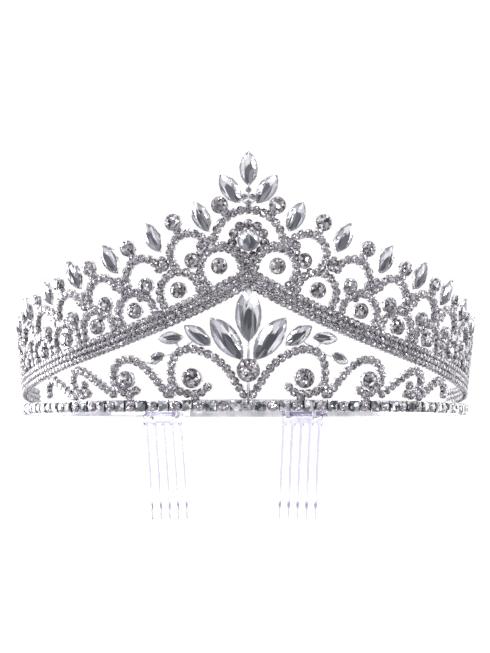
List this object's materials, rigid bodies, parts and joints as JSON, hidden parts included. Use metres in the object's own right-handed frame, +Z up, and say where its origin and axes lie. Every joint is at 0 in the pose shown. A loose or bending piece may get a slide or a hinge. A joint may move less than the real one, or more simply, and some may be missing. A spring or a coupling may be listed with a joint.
{
  "type": "bridal tiara",
  "caption": "Bridal tiara: stone-set silver frame that rises to a peak at the front, on a curved rail with plain strips and clear hair combs wired on behind.",
  "frame": {"origin": "centre of the base ring, level with the rail's bottom edge", "axes": "+Z up from the head, -Y to the front of the tiara, +X to the right as seen from the front"},
  "size_m": [0.1606, 0.1607, 0.1157],
  "materials": {
    "silver_metal": "bright rhodium-like plating",
    "crystal": "faceted and foiled",
    "clear_plastic": "clear moulded"
  },
  "bodies": {
    "frame": {"base_rail": "silver_metal", "base_stone_row": "crystal", "gable_row_lower": "silver_metal", "gable_row_middle": "silver_metal", "gable_row_upper": "silver_metal", "centre_arch": "silver_metal", "halo_ring": "silver_metal", "halo_stone": "crystal", "crest_setting": "silver_metal", "crest_navette_centre": "crystal", "crest_navette_left": "crystal", "crest_navette_right": "crystal", "lattice_left": "silver_metal", "edge_navette_left_1": "crystal", "edge_navette_left_2": "crystal", "edge_navette_left_3": "crystal", "edge_navette_left_4": "crystal", "edge_navette_left_5": "crystal", "edge_navette_left_6": "crystal", "edge_navette_left_7": "crystal", "edge_navette_left_8": "crystal", "lattice_right": "silver_metal", "edge_navette_right_1": "crystal", "edge_navette_right_2": "crystal", "edge_navette_right_3": "crystal", "edge_navette_right_4": "crystal", "edge_navette_right_5": "crystal", "edge_navette_right_6": "crystal", "edge_navette_right_7": "crystal", "edge_navette_right_8": "crystal", "palmette_setting": "silver_metal", "palmette_heart": "crystal", "leaf_centre": "crystal", "leaf_inner_left": "crystal", "leaf_middle_left": "crystal", "leaf_outer_left": "crystal", "leaf_tip_left": "crystal", "leaf_inner_right": "crystal", "leaf_middle_right": "crystal", "leaf_outer_right": "crystal", "leaf_tip_right": "crystal", "scroll_1_left": "silver_metal", "scroll_2_left": "silver_metal", "scroll_3_left": "silver_metal", "scroll_4_left": "silver_metal", "scroll_stone_inner_left": "crystal", "scroll_stone_outer_left": "crystal", "scroll_stone_side_left": "crystal", "scroll_1_right": "silver_metal", "scroll_2_right": "silver_metal", "scroll_3_right": "silver_metal", "scroll_4_right": "silver_metal", "scroll_stone_inner_right": "crystal", "scroll_stone_outer_right": "crystal", "scroll_stone_side_right": "crystal", "comb_binding_left": "silver_metal", "comb_binding_right": "silver_metal"},
    "comb_left": {"comb_left": "clear_plastic"},
    "comb_right": {"comb_right": "clear_plastic"}
  },
  "joints": [
    {"name": "comb_left_swing", "type": "hinge", "parent": "frame", "child": "comb_left", "pos_m": [-0.03244, 0.06507, 0.00175], "axis": [-0.8949, -0.4462, 0], "range_deg": [-20, 80]},
    {"name": "comb_right_swing", "type": "hinge", "parent": "frame", "child": "comb_right", "pos_m": [0.02427, 0.06853, 0.00175], "axis": [-0.9426, 0.3338, 0], "range_deg": [-20, 80]}
  ]
}
